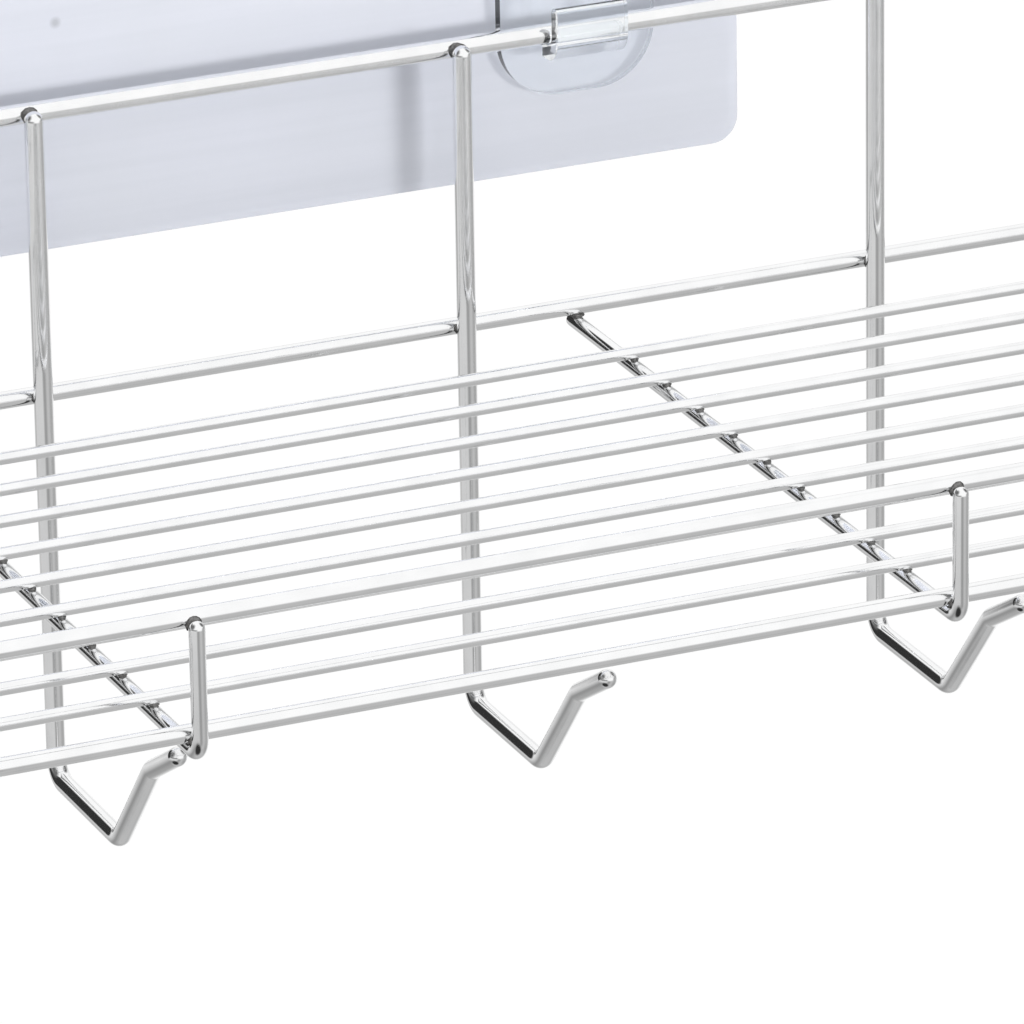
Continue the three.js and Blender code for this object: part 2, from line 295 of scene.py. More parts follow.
def steel_material():
    """Bright drawn stainless wire: fine lines along it, soft dents, and beside each weld a dark tint
    that is partly heat tint and partly painted shade where wires meet.
    """
    material, tree, shader = new_material("bright_steel_wire")
    place = attribute(tree, "wire_coord", "Vector")
    heat = attribute(tree, "heat", "Fac")
    lines = stretched_noise(tree, place, LINES_SCALE, detail=4.0)
    dents = stretched_noise(tree, place, DENTS_SCALE, detail=2.0)
    smudges = stretched_noise(tree, place, SMUDGES_SCALE, detail=5.0)
    plain = colour_mix(tree, ramp(tree, smudges, *SMUDGED_SHARE), STEEL_CLEAN, STEEL_SMUDGED)
    tinted_and_shaded = colour_mix(tree, ramp(tree, heat, *BURNT_AND_SHADED_SHARE), plain, STEEL_BURNT_AND_SHADED)
    tree.links.new(tinted_and_shaded, shader.inputs["Base Color"])
    lined = ramp(tree, lines, *LINES_ROUGHNESS)
    worn = math_node(tree, "ADD", lined, ramp(tree, smudges, *SMUDGES_ROUGHNESS))
    hot = math_node(tree, "MULTIPLY", heat, BURNT_ROUGHNESS)
    tree.links.new(math_node(tree, "ADD", worn, hot), shader.inputs["Roughness"])
    shader.inputs["Metallic"].default_value = 1.0
    dented = bump(tree, dents, *DENTS_BUMP)
    tree.links.new(bump(tree, lines, *LINES_BUMP, after=dented), shader.inputs["Normal"])
    return material


GRAIN_SCALE = 2600
# Dark bead colours: heat tint plus painted crevice shade between the two wires
WELD_DARK_TINT_AND_SHADE = (0.11, 0.108, 0.106)
WELD_PALE_TINT_AND_SHADE = (0.33, 0.325, 0.32)
GRAIN_SHARE = ((0.3, 0.7), (0.0, 1.0))
GRAIN_ROUGHNESS = ((0.3, 0.7), (0.28, 0.5))
GRAIN_BUMP = (0.3, 0.06 * MM)


def weld_material():
    """The small fused collar at a crossing: duller than the wire, and dark partly from heat tint and
    partly as painted shade of the crevice between the wires.
    """
    material, tree, shader = new_material("weld_bead_steel")
    grain = noise(tree, object_place(tree), GRAIN_SCALE, detail=4.0)
    mottled = colour_mix(tree, ramp(tree, grain, *GRAIN_SHARE), WELD_DARK_TINT_AND_SHADE, WELD_PALE_TINT_AND_SHADE)
    tree.links.new(mottled, shader.inputs["Base Color"])
    tree.links.new(ramp(tree, grain, *GRAIN_ROUGHNESS), shader.inputs["Roughness"])
    shader.inputs["Metallic"].default_value = 1.0
    tree.links.new(bump(tree, grain, *GRAIN_BUMP), shader.inputs["Normal"])
    return material


BANDS_SCALE = (9, 9, 420)
FILM_CLOUDS_SCALE = 42
RIPPLE_SCALE = 75
BUBBLES_SCALE = 62
FILM_DARK_BAND = (0.69, 0.715, 0.79)
FILM_PALE_BAND = (0.76, 0.78, 0.86)
FILM_CLOUD = (0.70, 0.725, 0.775)
FILM_SMALL_BUBBLE = (0.82, 0.84, 0.9)
FILM_LARGE_BUBBLE = (0.3, 0.31, 0.34)
BANDS_SHARE = ((0.2, 0.8), (0.0, 1.0))
FILM_CLOUDS_SHARE = ((0.2, 0.8), (0.0, 0.6))
SMALL_BUBBLES_SHARE = 0.5
LARGE_BUBBLE_SHARE = ((BUBBLE_CORE, BUBBLE_RADIUS), (0.45, 0.0))
BUBBLE_DOME = ((0.028, 0.055), (1.0, 0.0))  # by the distance from a cell's middle
BUBBLE_PICK = 0.62  # a cell has a bubble where its random level is above this
FILM_ROUGHNESS = ((0.2, 0.8), (0.14, 0.3))
FILM_IOR = 1.48
FILM_ALPHA = 0.86
RIPPLE_BUMP = (0.25, 0.4 * MM)
BUBBLES_BUMP = (0.5, 0.25 * MM)


def film_material():
    """Pale blue-grey glossy film with faint level bands, a slow ripple and a few trapped bubbles."""
    material, tree, shader = new_material("pad_film")
    place = object_place(tree)
    bands = stretched_noise(tree, place, BANDS_SCALE, detail=3.0)
    clouds = noise(tree, place, FILM_CLOUDS_SCALE, detail=3.0)
    ripple = noise(tree, place, RIPPLE_SCALE, detail=1.0)
    cells = voronoi_cells(tree, place, BUBBLES_SCALE)
    domes = ramp(tree, cells.outputs["Distance"], *BUBBLE_DOME)
    picked = math_node(tree, "GREATER_THAN", cells.outputs["Color"], BUBBLE_PICK)
    bubbles = math_node(tree, "MULTIPLY", domes, picked)
    bubble_place = (BUBBLE_X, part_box("pad_film_left")[0].y, BUBBLE_Z)
    distance = vector_node(tree, "DISTANCE", place, bubble_place).outputs["Value"]
    banded = colour_mix(tree, ramp(tree, bands, *BANDS_SHARE), FILM_DARK_BAND, FILM_PALE_BAND)
    milky = colour_mix(tree, ramp(tree, clouds, *FILM_CLOUDS_SHARE), banded, FILM_CLOUD)
    pale = math_node(tree, "MULTIPLY", bubbles, SMALL_BUBBLES_SHARE)
    speckled = colour_mix(tree, pale, milky, FILM_SMALL_BUBBLE)
    spotted = colour_mix(tree, ramp(tree, distance, *LARGE_BUBBLE_SHARE), speckled, FILM_LARGE_BUBBLE)
    tree.links.new(spotted, shader.inputs["Base Color"])
    tree.links.new(ramp(tree, clouds, *FILM_ROUGHNESS), shader.inputs["Roughness"])
    shader.inputs["IOR"].default_value = FILM_IOR
    shader.inputs["Alpha"].default_value = FILM_ALPHA
    rippled = bump(tree, ripple, *RIPPLE_BUMP)
    tree.links.new(bump(tree, bubbles, *BUBBLES_BUMP, after=rippled), shader.inputs["Normal"])
    return material


SPECKS_SCALE = 900
ADHESIVE_CLOUDS_SCALE = 60
ADHESIVE_DARK = (0.66, 0.69, 0.76)
ADHESIVE_PALE = (0.74, 0.765, 0.82)
ADHESIVE_SPECK = (0.86, 0.88, 0.92)
ADHESIVE_CLOUDS_SHARE = ((0.35, 0.7), (0.0, 1.0))
SPECK_DOME = ((0.05, 0.22), (1.0, 0.0))
ADHESIVE_ROUGHNESS = ((0.3, 0.7), (0.42, 0.62))
SPECKS_BUMP = (0.3, 0.1 * MM)


def adhesive_material():
    """Soft milky layer behind the film, speckled with tiny trapped bubbles."""
    material, tree, shader = new_material("pad_adhesive")
    place = object_place(tree)
    cells = voronoi_cells(tree, place, SPECKS_SCALE)
    specks = ramp(tree, cells.outputs["Distance"], *SPECK_DOME)
    clouds = noise(tree, place, ADHESIVE_CLOUDS_SCALE, detail=4.0)
    cloudy = ramp(tree, clouds, *ADHESIVE_CLOUDS_SHARE)
    milky = colour_mix(tree, cloudy, ADHESIVE_DARK, ADHESIVE_PALE)
    tree.links.new(colour_mix(tree, specks, milky, ADHESIVE_SPECK), shader.inputs["Base Color"])
    tree.links.new(ramp(tree, clouds, *ADHESIVE_ROUGHNESS), shader.inputs["Roughness"])
    tree.links.new(bump(tree, specks, *SPECKS_BUMP), shader.inputs["Normal"])
    return material


FLOW_SCALE = 160
CLEAR_COLOUR = (0.95, 0.97, 0.985, 1.0)
CLEAR_IOR = 1.49
CLEAR_ROUGHNESS = ((0.35, 0.7), (0.015, 0.07))
FLOW_BUMP = (0.12, 0.2 * MM)
FACE_SHADOW = (0.97, 0.975, 0.98)  # light that gets through a face
RIM_SHADOW = (0.3, 0.32, 0.35)  # and through a rim


def clear_material():
    """Clear moulded plastic, almost colourless, with a faint flow ripple; its rims cast a shadow."""
    material, tree, shader = new_material("clear_moulded_plastic")
    flow = noise(tree, object_place(tree), FLOW_SCALE, detail=2.0)
    shader.inputs["Base Color"].default_value = CLEAR_COLOUR
    shader.inputs["Transmission Weight"].default_value = 1.0
    shader.inputs["IOR"].default_value = CLEAR_IOR
    tree.links.new(ramp(tree, flow, *CLEAR_ROUGHNESS), shader.inputs["Roughness"])
    tree.links.new(bump(tree, flow, *FLOW_BUMP), shader.inputs["Normal"])
    passing = add_node(tree, "ShaderNodeBsdfTransparent")
    let_through = colour_mix(tree, attribute(tree, "rim", "Fac"), FACE_SHADOW, RIM_SHADOW)
    tree.links.new(let_through, passing.inputs["Color"])
    path = add_node(tree, "ShaderNodeLightPath")
    shader_mix(tree, path.outputs["Is Shadow Ray"], shader, passing)
    return material


STEEL = steel_material()
WELD = weld_material()
FILM = film_material()
ADHESIVE = adhesive_material()
CLEAR = clear_material()


# Welds

def weld_list():
    """Where two wires touch, which way they face each other, and the radius that sizes the weld."""
    welds = []
    cross_xs = [box_middle(node).x for node in cross_nodes]
    hook_xs = [box_middle(node).x for node in hook_nodes]
    shelf_ys = [box_middle(node).y for node in shelf_nodes]
    under_z = cross_z + cross_radius + WELD_GAP / 2
    hook_weld_y = hook_y + hook_radius + WELD_GAP / 2
    post_weld_y = post_y + cross_radius + WELD_GAP / 2
    post_weld_z = (guard_z + post_top_z) / 2
    foot_weld_z = rim_z - rim_radius * FOOT_WELD_DROP
    shelf_end_x = rim_end_x - rim_radius - WELD_GAP / 2
    stub_x = leg_x + top_radius + WELD_GAP / 2
    for x in cross_xs:
        for y in shelf_ys:
            welds.append((Vector((x, y, under_z)), UP, shelf_radius * SPOT_WELD))
        welds.append((Vector((x, rim_back_y, under_z)), UP, cross_radius))
        welds.append((Vector((x, rim_front_y, under_z)), UP, cross_radius))
        welds.append((Vector((x, post_weld_y, foot_weld_z)), BACK, cross_radius))
        welds.append((Vector((x, post_weld_y, post_weld_z)), BACK, cross_radius))
    for x in hook_xs:
        welds.append((Vector((x, hook_weld_y, top_z)), BACK, hook_radius))
        welds.append((Vector((x, hook_weld_y, rim_z)), BACK, rim_radius))
    for side in (-1, 1):
        for y in shelf_ys:
            welds.append((Vector((side * shelf_end_x, y, shelf_z)), ALONG, shelf_radius))
        welds.append((Vector((side * leg_x, top_y, leg_foot_z - WELD_GAP / 2)), UP, rim_radius))
        welds.append((Vector((side * stub_x, guard_back_y, guard_z)), ALONG, guard_radius))
    return welds


WELDS = weld_list()
WELD_POINTS = np.array([place for place, _, _ in WELDS])


# Wire meshes

def bend_knots(before, corner, after, radius):
    """Points and headings round a bend at a corner between two straight runs."""
    inbound = (corner - before).normalized()
    outbound = (after - corner).normalized()
    turn = inbound.angle(outbound)
    inside = (outbound - inbound * inbound.dot(outbound)).normalized()
    start = corner - inbound * (radius * math.tan(turn / 2))
    steps = max(2, math.ceil(turn / BEND_STEP))
    knots = []
    for i in range(steps + 1):
        angle = turn * i / steps
        point = start + inbound * (radius * math.sin(angle)) + inside * (radius * (1 - math.cos(angle)))
        knots.append((point, inbound * math.cos(angle) + inside * math.sin(angle)))
    return knots


def open_knots(corners, radius):
    """Points and headings along a wire from its first corner to its last, bent at those between."""
    first = (corners[1] - corners[0]).normalized()
    last = (corners[-1] - corners[-2]).normalized()
    knots = [(corners[0], first)]
    for before, corner, after in zip(corners, corners[1:], corners[2:]):
        knots += bend_knots(before, corner, after, radius)
    return knots + [(corners[-1], last)]


def closed_knots(corners, radius):
    """Points and headings round a wire whose ends meet, bent at every corner."""
    knots = []
    for i, corner in enumerate(corners):
        knots += bend_knots(corners[i - 1], corner, corners[(i + 1) % len(corners)], radius)
    return knots + knots[:1]


def weld_marks(points, lengths, radius):
    """Lengths along a wire at which it is welded to another."""
    starts, runs = points[:-1], np.diff(points, axis=0)
    marks = []
    for weld in WELD_POINTS:
        share = np.einsum("ij,ij->i", weld - starts, runs) / np.einsum("ij,ij->i", runs, runs)
        share = np.clip(share, 0, 1)
        gaps = np.linalg.norm(starts + runs * share[:, None] - weld, axis=1)
        nearest = int(gaps.argmin())
        if gaps[nearest] < radius + WELD_GAP:
            marks.append(lengths[nearest] + share[nearest] * np.linalg.norm(runs[nearest]))
    return marks


def stations_along(knots, radius):
    """Rings of a wire: one at each knot, some round each weld, and the rest evenly between."""
    points = np.array([point for point, _ in knots])
    headings = np.array([heading for _, heading in knots])
    lengths = np.concatenate([[0], np.cumsum(np.linalg.norm(np.diff(points, axis=0), axis=1))])
    total = lengths[-1]
    wanted = list(np.linspace(0, total, max(2, math.ceil(total / RING_SPACING))))
    for mark in weld_marks(points, lengths, radius):
        wanted += [mark] + [mark + sign * offset for offset in WELD_RING_OFFSETS for sign in (-1, 1)]
    inner = [s for s in wanted if 0 < s < total and np.abs(lengths - s).min() > KNOT_CLEARANCE]
    places = np.unique(np.round(np.concatenate([lengths, inner]), LENGTH_DIGITS))
    places = places[np.concatenate([[True], np.diff(places) > RING_CLEARANCE])]
    places[-1] = total
    rings = np.stack([np.interp(places, lengths, points[:, axis]) for axis in range(3)], axis=1)
    turns = np.stack([np.interp(places, lengths, headings[:, axis]) for axis in range(3)], axis=1)
    turns /= np.linalg.norm(turns, axis=1)[:, None]
    return places, rings, turns


def end_rings(kind, radius):
    """(setback, radius) pairs of the rings that finish a wire's end, from the tip inwards."""
    if kind == "cut":
        shoulder = CUT_CHAMFER * CUT_SHOULDER
        return [(0.0, radius - CUT_CHAMFER), (shoulder, radius - shoulder)]
    step = math.pi / 2 / ROUND_END_RINGS
    angles = [step * (i + ROUND_END_START) for i in range(ROUND_END_RINGS)]
    return [(-radius * math.cos(a), radius * math.sin(a)) for a in angles]


def with_ends(places, rings, turns, radius, ends):
    """A wire's rings with both ends finished: places along it, middles, headings and radii."""
    head = end_rings(ends[0], radius)
    tail = end_rings(ends[1], radius)[::-1]
    body = slice(1 if ends[0] == "cut" else 0, -1 if ends[1] == "cut" else None)
    kept = places[body]
    head_rings = [rings[0] + turns[0] * setback for setback, _ in head]
    tail_rings = [rings[-1] - turns[-1] * setback for setback, _ in tail]
    return (
        np.concatenate([[places[0]] * len(head), kept, [places[-1]] * len(tail)]),
        np.concatenate([head_rings, rings[body], tail_rings]),
        np.concatenate([[turns[0]] * len(head), turns[body], [turns[-1]] * len(tail)]),
        np.concatenate([[r for _, r in head], np.full(len(kept), radius), [r for _, r in tail]]),
    )


def tube_faces(rows, sides, start=0, closed=False):
    """Faces over rows of points: a closed ring of rows, or a tube with a cap at either end."""
    faces = []
    for i in range(rows if closed else rows - 1):
        row, following = start + i * sides, start + (i + 1) % rows * sides
        for j in range(sides):
            k = (j + 1) % sides
            faces.append((row + j, following + j, following + k, row + k))
    if not closed:
        last = start + (rows - 1) * sides
        faces.append(tuple(start + j for j in range(sides)))
        faces.append(tuple(last + j for j in reversed(range(sides))))
    return faces


def wire_mesh(name, knots, normal, radius, ends, closed):
    """A round wire along knots that lie in the plane with the given normal."""
    places, rings, turns = stations_along(knots, radius)
    if closed:
        places, rings, turns = places[:-1], rings[:-1], turns[:-1]
        radii = np.full(len(places), radius)
    else:
        places, rings, turns, radii = with_ends(places, rings, turns, radius, ends)
    normal = np.array(normal)
    angles = np.linspace(0, 2 * math.pi, WIRE_SIDES, endpoint=False)
    sideways = np.cross(turns, normal)[:, None, :] * np.cos(angles)[None, :, None]
    spokes = sideways + normal[None, None, :] * np.sin(angles)[None, :, None]
    verts = (rings[:, None, :] + spokes * radii[:, None, None]).reshape(-1, 3)
    mesh = bpy.data.meshes.new(name)
    mesh.from_pydata(verts.tolist(), [], tube_faces(len(places), WIRE_SIDES, closed=closed))
    along = np.repeat(places, WIRE_SIDES)
    around = np.tile(angles, len(places))
    coords = np.stack([radius * np.cos(around), radius * np.sin(around), along], axis=1)
    mesh.attributes.new("wire_coord", "FLOAT_VECTOR", "POINT").data.foreach_set("vector", coords.ravel())
    # Darkening around each weld: heat tint and painted contact shade
    gaps = np.linalg.norm(verts[:, None, :] - WELD_POINTS[None, :, :], axis=2).min(axis=1)
    heat = np.exp(-((gaps / (HEAT_AND_SHADE_REACH * radius)) ** 2))
    mesh.attributes.new("heat", "FLOAT", "POINT").data.foreach_set("value", heat)
    mesh.shade_smooth()
    mesh.set_sharp_from_angle(angle=SHARP_WIRE_ANGLE)
    return mesh


def place_piece(name, mesh, material, body, replaced=()):
    mesh.materials.append(material)
    piece = bpy.data.objects.new(name, mesh)
    bpy.context.scene.collection.objects.link(piece)
    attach(piece, body)
    if replaced:
        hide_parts(*replaced)
    return piece


def place_wire(node, knots, normal, radius, ends=("cut", "cut"), closed=False):
    mesh = wire_mesh(node + "_looks", knots, normal, radius, ends, closed)
    place_piece(node + "_looks", mesh, STEEL, "rack", [node])


def make_rails():
    rim_corners = [
        Vector((-rim_end_x, rim_back_y, rim_z)),
        Vector((-rim_end_x, rim_front_y, rim_z)),
        Vector((rim_end_x, rim_front_y, rim_z)),
        Vector((rim_end_x, rim_back_y, rim_z)),
    ]
    place_wire("shelf_rim", closed_knots(rim_corners, CORNER_RADIUS), UP, rim_radius, closed=True)
    top_corners = [
        Vector((-leg_x, top_y, leg_foot_z)),
        Vector((-leg_x, top_y, top_z)),
        Vector((leg_x, top_y, top_z)),
        Vector((leg_x, top_y, leg_foot_z)),
    ]
    place_wire("back_top_rail", open_knots(top_corners, TOP_BEND_RADIUS), BACK, top_radius)
    stub_x = leg_x + top_radius + WELD_GAP
    guard_corners = [
        Vector((-stub_x, guard_back_y, guard_z)),
        Vector((-guard_end_x, guard_back_y, guard_z)),
        Vector((-guard_end_x, guard_front_y, guard_z)),
        Vector((guard_end_x, guard_front_y, guard_z)),
        Vector((guard_end_x, guard_back_y, guard_z)),
        Vector((stub_x, guard_back_y, guard_z)),
    ]
    place_wire("guard_rail", open_knots(guard_corners, CORNER_RADIUS), UP, guard_radius)


def make_shelf_wires():
    for node in shelf_nodes:
        low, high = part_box(node)
        middle = (low + high) / 2
        corners = [Vector((low.x, middle.y, middle.z)), Vector((high.x, middle.y, middle.z))]
        place_wire(node, open_knots(corners, 0.0), UP, shelf_radius)


def make_cross_wires():
    for node in cross_nodes:
        x = box_middle(node).x
        corners = [
            Vector((x, cross_back_y, cross_z)),
            Vector((x, post_y, cross_z)),
            Vector((x, post_y, post_top_z)),
        ]
        knots = open_knots(corners, rim_front_y - post_y)
        place_wire(node, knots, ALONG, cross_radius, ends=("cut", "round"))


def make_hook_wires():
    for node in hook_nodes:
        x = box_middle(node).x
        corner = Vector((x, hook_y - HOOK_LEG, hook_leg_z))
        tip = corner + HOOK_TIP * Vector((0, -math.cos(HOOK_TIP_ANGLE), math.sin(HOOK_TIP_ANGLE)))
        lip = tip + HOOK_LIP * Vector((0, -math.cos(HOOK_LIP_ANGLE), math.sin(HOOK_LIP_ANGLE)))
        top, bottom = Vector((x, hook_y, hook_top_z)), Vector((x, hook_y, hook_leg_z))
        knots = open_knots([top, bottom, corner, tip, lip], HOOK_BEND_RADIUS)
        place_wire(node, knots, ALONG, hook_radius, ends=("round", "round"))


def bead_points(number, place, facing, radius):
    """Rows of points on a lumpy lens that lies flat between two wires."""
    turn = facing.to_track_quat("Z", "X").to_matrix()
    spread = radius * 2 * BEAD_SPREAD
    points = []
    for i in range(1, BEAD_RINGS):
        polar = math.pi * i / BEAD_RINGS
        for j in range(BEAD_SIDES):
            around = 2 * math.pi * j / BEAD_SIDES
            lumps = [high * math.sin(n * around + turned * number) for n, high, turned in BEAD_LUMPS]
            reach = spread * (1 + sum(lumps)) * math.sin(polar)
            height = BEAD_THICKNESS * math.cos(polar)
            flat = Vector((reach * math.cos(around), reach * math.sin(around), height))
            points.append(place + turn @ flat)
    return points


def make_weld_beads():
    """A small lumpy collar squeezed out where two wires were fused."""
    verts, faces = [], []
    for number, weld in enumerate(WELDS):
        faces += tube_faces(BEAD_RINGS - 1, BEAD_SIDES, start=len(verts))
        verts += bead_points(number, *weld)
    mesh = bpy.data.meshes.new("weld_beads")
    mesh.from_pydata(verts, [], faces)
    mesh.shade_smooth()
    place_piece("weld_beads", mesh, WELD, "rack")


# Pads and clear hooks

def arc(centre, radius, start, end, steps):
    """Points on an arc in a plane, both ends included."""
    angles = [start + (end - start) * i / steps for i in range(steps + 1)]
    return [(centre[0] + radius * math.cos(a), centre[1] + radius * math.sin(a)) for a in angles]


def round_rectangle(width, height, radius, steps):
    x, z = width / 2 - radius, height / 2 - radius
    quarter = math.pi / 2
    outline = []
    for i, centre in enumerate(((x, z), (-x, z), (-x, -z), (x, -z))):
        outline += arc(centre, radius, i * quarter, (i + 1) * quarter, steps)
    return outline


def prism(name, outline, depth, to_space):
    """A closed mesh of an outline pushed through by depth; to_space puts (a, b, depth) in the frame."""
    count = len(outline)
    verts = [to_space(a, b, d) for d in (0.0, depth) for a, b in outline]
    faces = [tuple(reversed(range(count))), tuple(range(count, 2 * count))]
    faces += [(i, (i + 1) % count, count + (i + 1) % count, count + i) for i in range(count)]
    mesh = bpy.data.meshes.new(name)
    mesh.from_pydata(verts, [], faces)
    return mesh


def after_modifier(name, mesh, kind, **settings):
    """The mesh after one modifier."""
    holder = bpy.data.objects.new(name, mesh)
    bpy.context.scene.collection.objects.link(holder)
    modifier = holder.modifiers.new(kind.lower(), kind)
    for key, value in settings.items():
        setattr(modifier, key, value)
    changed = holder.evaluated_get(bpy.context.evaluated_depsgraph_get())
    result = bpy.data.meshes.new_from_object(changed)
    bpy.data.objects.remove(holder)
    result.name = name
    return result


def evenly_shaded(name, mesh):
    """Smooth shading in which large flat faces stay flat and only the rounded edges turn."""
    mesh.shade_smooth()
    mesh.set_sharp_from_angle(angle=SHARP_SHEET_ANGLE)
    return after_modifier(name, mesh, "WEIGHTED_NORMAL", keep_sharp=True, weight=FLAT_FACE_WEIGHT)


def make_sheet(node, radius, edge, material):
    """A flat sheet of a pad, with round corners and rounded edges."""
    low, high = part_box(node)
    middle = (low + high) / 2

    def to_space(a, b, depth):
        return (middle.x + a, high.y - depth, middle.z + b)

    outline = round_rectangle(high.x - low.x, high.z - low.z, radius, PAD_CORNER_STEPS)
    rounded = after_modifier(
        node + "_rounded",
        prism(node, outline, high.y - low.y, to_space),
        "BEVEL",
        width=edge,
        segments=EDGE_SEGMENTS,
        limit_method="ANGLE",
        angle_limit=PAD_EDGE_ANGLE,
    )
    mesh = evenly_shaded(node + "_looks", rounded)
    place_piece(node + "_looks", mesh, material, "wall_pads", [node])


def make_pads():
    for side in ("left", "right"):
        make_sheet("pad_film_" + side, FILM_CORNER_RADIUS, FILM_EDGE, FILM)
        make_sheet("pad_adhesive_" + side, ADHESIVE_CORNER_RADIUS, ADHESIVE_EDGE, ADHESIVE)


def seat_outline(seat, wall, root):
    """Side profile of the tongue: forwards from the plate's face, and up from the rail's axis."""
    outer, tip = seat + wall, wall / 2
    outline = [(-root, -outer)]
    outline += arc((seat, 0), outer, -math.pi / 2, 0, TONGUE_STEPS)
    outline += arc((2 * seat + tip, TONGUE_RISE - tip), tip, 0, math.pi, TONGUE_TIP_STEPS)
    outline += arc((seat, 0), seat, 0, -math.pi, SEAT_STEPS)
    return outline + [(-root, 0)]


def round_edges(mesh, chosen):
    """Rounds those outer edges of a mesh whose middle is chosen."""
    solid = bmesh.new()
    solid.from_mesh(mesh)
    edges = []
    for edge in solid.edges:
        middle = (edge.verts[0].co + edge.verts[1].co) / 2
        if edge.is_convex and edge.calc_face_angle(0.0) > CLEAR_EDGE_ANGLE and chosen(middle):
            edges.append(edge)
    bmesh.ops.bevel(
        solid,
        geom=edges,
        offset=CLEAR_EDGE,
        segments=EDGE_SEGMENTS,
        profile=EDGE_PROFILE,
        affect="EDGES",
        clamp_overlap=True,
    )
    solid.to_mesh(mesh)
    solid.free()


def make_clear_hook(node):
    """A plate with round corners and, in front of it, a tongue that holds the top rail."""
    low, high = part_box(node)
    middle = (low + high) / 2
    seat = top_radius + SEAT_CLEARANCE
    face_y = top_y + seat
    back_y = high.y - PLATE_AIR
    thickness = back_y - face_y
    wall = (face_y - low.y) - 2 * seat

    def plate_space(a, b, depth):
        return (middle.x + a, back_y - depth, middle.z + b)

    def tongue_space(a, b, depth):
        return (middle.x + TONGUE_WIDTH / 2 - depth, face_y - a, top_z + b)

    def clear_of_throat(point):
        ahead = face_y - point.y
        return ahead < THROAT_START or ahead > seat or point.z < top_z - seat

    outline = round_rectangle(high.x - low.x, high.z - low.z, PLATE_CORNER_RADIUS, PLATE_CORNER_STEPS)
    profile = seat_outline(seat, wall, thickness / 2)
    plate = prism(node + "_plate", outline, thickness, plate_space)
    tongue = prism(node + "_tongue", profile, TONGUE_WIDTH, tongue_space)
    added = bpy.data.objects.new(node + "_tongue", tongue)
    bpy.context.scene.collection.objects.link(added)
    moulding = after_modifier(
        node + "_moulding", plate, "BOOLEAN", operation="UNION", object=added, solver="EXACT"
    )
    bpy.data.objects.remove(added)
    round_edges(moulding, clear_of_throat)
    mesh = evenly_shaded(node + "_looks", moulding)
    rims = [1 - abs(face.normal.y) for face in mesh.polygons]
    mesh.attributes.new("rim", "FLOAT", "FACE").data.foreach_set("value", rims)
    piece = place_piece(node + "_looks", mesh, CLEAR, "wall_pads", [node])
    piece.visible_diffuse = False


def make_clear_hooks():
    for node in clear_nodes:
        make_clear_hook(node)


# Camera, as solved from the photograph's parallel rails

CAMERA_AZIMUTH = -23.178  # degrees
CAMERA_ELEVATION = 21.482
CAMERA_ROLL = -0.925
CAMERA_AIM = Vector((-148.74, -67.0, -45.71)) * MM
CAMERA_DISTANCE = 1302.2 * MM
CAMERA_LENS = 332.5  # millimetres, as is the sensor
CAMERA_SENSOR = 36
CAMERA_REACH = 100  # metres


def direction(azimuth, elevation):
    """A unit vector from angles in degrees: azimuth 0 is the room side, towards -Y, and 90 is +X."""
    a, e = math.radians(azimuth), math.radians(elevation)
    return Vector((math.sin(a) * math.cos(e), -math.cos(a) * math.cos(e), math.sin(e)))


def make_camera():
    data = bpy.data.cameras.new("camera")
    data.lens = CAMERA_LENS
    data.sensor_width = CAMERA_SENSOR
    data.clip_end = CAMERA_REACH
    camera = bpy.data.objects.new("camera", data)
    away = direction(CAMERA_AZIMUTH, CAMERA_ELEVATION)
    camera.location = CAMERA_AIM + away * CAMERA_DISTANCE
    level = (-away).to_track_quat("-Z", "Y").to_matrix().to_4x4()
    roll = Matrix.Rotation(math.radians(CAMERA_ROLL), 4, "Z")
    camera.rotation_euler = (level @ roll).to_euler()
    bpy.context.scene.collection.objects.link(camera)
    bpy.context.scene.camera = camera


# Studio. Angles are in degrees, and levels are shares of white.

DIFFUSE_SKY = (0.75, 0.75, 0.76)
LOWER_RANGE = (-38, -2)  # from here to here, the level rises to white
LOWER_LEVEL = 0.3
HORIZON_RANGE = (4, 13)  # from here to here, the dark line at the horizon fades
HORIZON_LEVEL = 0.28
HORIZON_GAP = (20, 0, 38, 12)  # azimuth, elevation, half width and softness
PATCHES = [  # the same, and the level
    (140, -18, 32, 14, 0.95),  # pale, behind to the right
    (20, -36, 26, 10, 0.5),  # pale, low in front
    (0, -90, 34, 12, 0.5),  # pale, below
    (-140, 10, 30, 3, 0.03),  # dark, behind to the left
    (-58, -57, 27, 6, 0.03),  # dark, low on the left
    (-5, -24, 16, 8, 0.33),  # dark, low in front
    (74, -22, 26, 13, 0.4),  # dark, to the right
    (-95, 32, 30, 12, 0.15),  # dark, high on the left
    (95, 34, 24, 9, 0.15),  # dark, high on the right
]
LAMPS = [  # name, azimuth, elevation, distance, size and watts
    ("key", 44, -6, 2.4, 0.6, 38),
    ("top", -20, 70, 1.6, 1.0, 5),
]
FLOOR_DROP = 620 * MM  # below the top rail
FLOOR_SIZE = 9.0
FLOOR_DARK = (0.93, 0.93, 0.93)
FLOOR_PALE = (0.95, 0.95, 0.95)
FLOOR_SPECKLE_SCALE = 6
FLOOR_ROUGHNESS = 0.9
FLOOR_GLOW = 1.075  # makes up for the shaded share of what the camera sees of the floor
FLOOR_GLOW_SHARE = 0.8


def light_path(tree):
    """The light path, and 1 for rays from the camera and those sent on through clear pieces, else 0."""
    path = add_node(tree, "ShaderNodeLightPath")
    seen = math_node(tree, "ADD", path.outputs["Is Camera Ray"], path.outputs["Is Transmission Ray"])
    return path, math_node(tree, "MINIMUM", seen, 1.0)


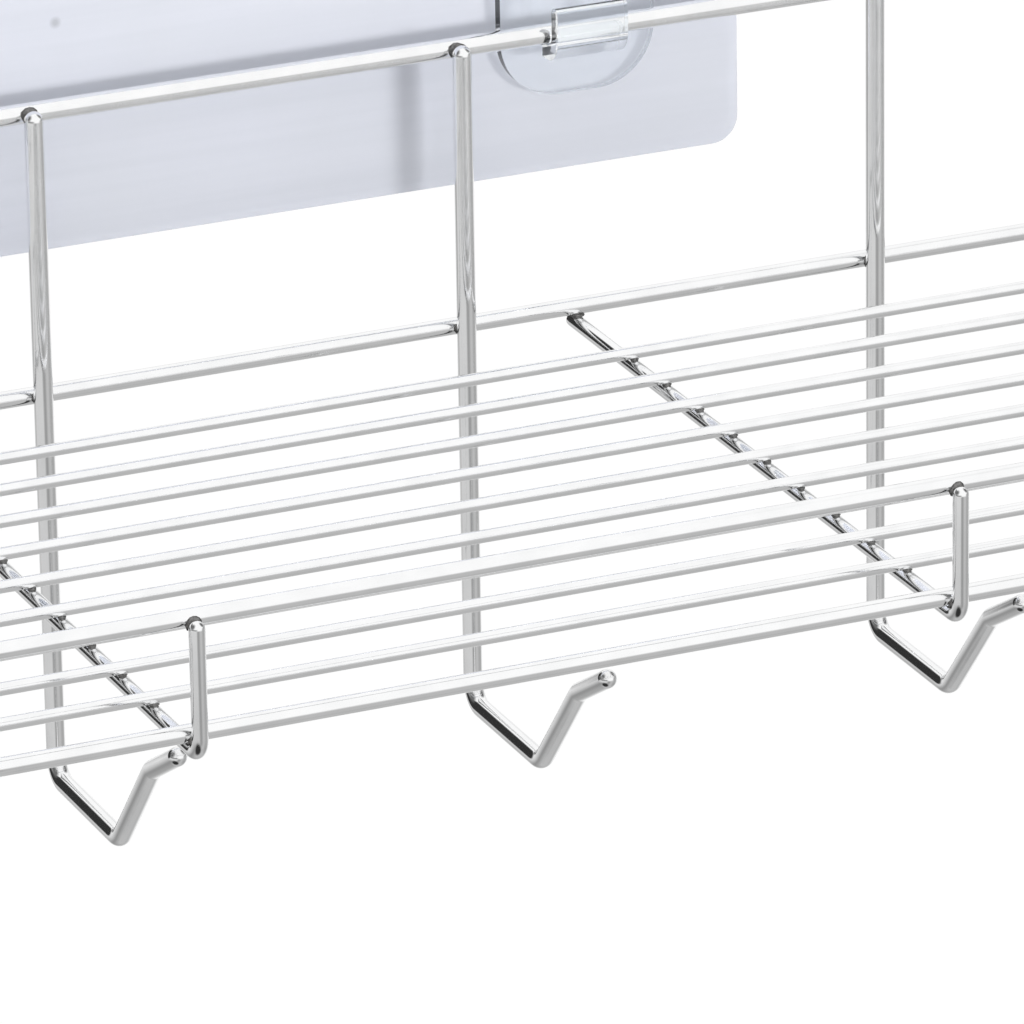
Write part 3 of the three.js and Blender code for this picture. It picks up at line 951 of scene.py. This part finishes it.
def angle_from(tree, towards, azimuth, elevation):
    """Angle in degrees between a ray and a direction."""
    facing = vector_node(tree, "DOT_PRODUCT", towards, direction(azimuth, elevation))
    return math_node(tree, "DEGREES", math_node(tree, "ARCCOSINE", facing.outputs["Value"]))


def patch_cover(tree, towards, azimuth, elevation, width, softness):
    """1 inside a round patch of the studio, 0 outside it."""
    angle = angle_from(tree, towards, azimuth, elevation)
    return ramp(tree, angle, (width - softness, width + softness), (1.0, 0.0))


def make_world():
    """White for the camera, plain for rough surfaces, and for bright metal a studio to mirror.

    The studio is white above and grey below, with a dark line at the horizon and soft patches.
    """
    world = bpy.data.worlds.new("studio")
    bpy.context.scene.world = world
    world.use_nodes = True
    tree = world.node_tree
    towards = add_node(tree, "ShaderNodeTexCoord").outputs["Generated"]
    height = math_node(tree, "SUBTRACT", 90.0, angle_from(tree, towards, 0, 90))
    level = ramp(tree, height, LOWER_RANGE, (LOWER_LEVEL, 1.0))
    near = ramp(tree, math_node(tree, "ABSOLUTE", height), HORIZON_RANGE, (1.0, 0.0))
    gap = patch_cover(tree, towards, *HORIZON_GAP)
    line = math_node(tree, "MULTIPLY", near, math_node(tree, "SUBTRACT", 1.0, gap))
    level = colour_mix(tree, line, level, (HORIZON_LEVEL,) * 3)
    for *place, patch_level in PATCHES:
        level = colour_mix(tree, patch_cover(tree, towards, *place), level, (patch_level,) * 3)
    path, seen = light_path(tree)
    mirrored = colour_mix(tree, path.outputs["Is Glossy Ray"], DIFFUSE_SKY, level)
    shown = colour_mix(tree, seen, mirrored, WHITE)
    tree.links.new(shown, tree.nodes["Background"].inputs["Color"])


def make_floor():
    material, tree, shader = new_material("studio_floor")
    speckle = noise(tree, object_place(tree), FLOOR_SPECKLE_SCALE, detail=2.0)
    tree.links.new(colour_mix(tree, speckle, FLOOR_DARK, FLOOR_PALE), shader.inputs["Base Color"])
    shader.inputs["Roughness"].default_value = FLOOR_ROUGHNESS
    glow = add_node(tree, "ShaderNodeEmission", {"Color": (*WHITE, 1.0), "Strength": FLOOR_GLOW})
    _, seen = light_path(tree)
    shader_mix(tree, math_node(tree, "MULTIPLY", seen, FLOOR_GLOW_SHARE), shader, glow)
    half = FLOOR_SIZE / 2
    corners = [(-half, -half), (half, -half), (half, half), (-half, half)]
    mesh = bpy.data.meshes.new("floor")
    mesh.from_pydata([(x, y, -FLOOR_DROP) for x, y in corners], [], [(0, 1, 2, 3)])
    mesh.materials.append(material)
    floor = bpy.data.objects.new("floor", mesh)
    bpy.context.scene.collection.objects.link(floor)
    floor.visible_glossy = False


def make_lamp(name, azimuth, elevation, distance, size, watts):
    data = bpy.data.lights.new(name, "AREA")
    data.shape = "DISK"
    data.size = size
    data.energy = watts
    lamp = bpy.data.objects.new(name, data)
    lamp.location = CAMERA_AIM + direction(azimuth, elevation) * distance
    lamp.rotation_euler = (CAMERA_AIM - lamp.location).to_track_quat("-Z", "Y").to_euler()
    lamp.visible_camera = False
    lamp.visible_glossy = False
    bpy.context.scene.collection.objects.link(lamp)


make_camera()
make_rails()
make_shelf_wires()
make_cross_wires()
make_hook_wires()
make_weld_beads()
make_pads()
make_clear_hooks()
make_world()
make_floor()
for lamp_settings in LAMPS:
    make_lamp(*lamp_settings)
bpy.context.scene.view_settings.view_transform = "Standard"
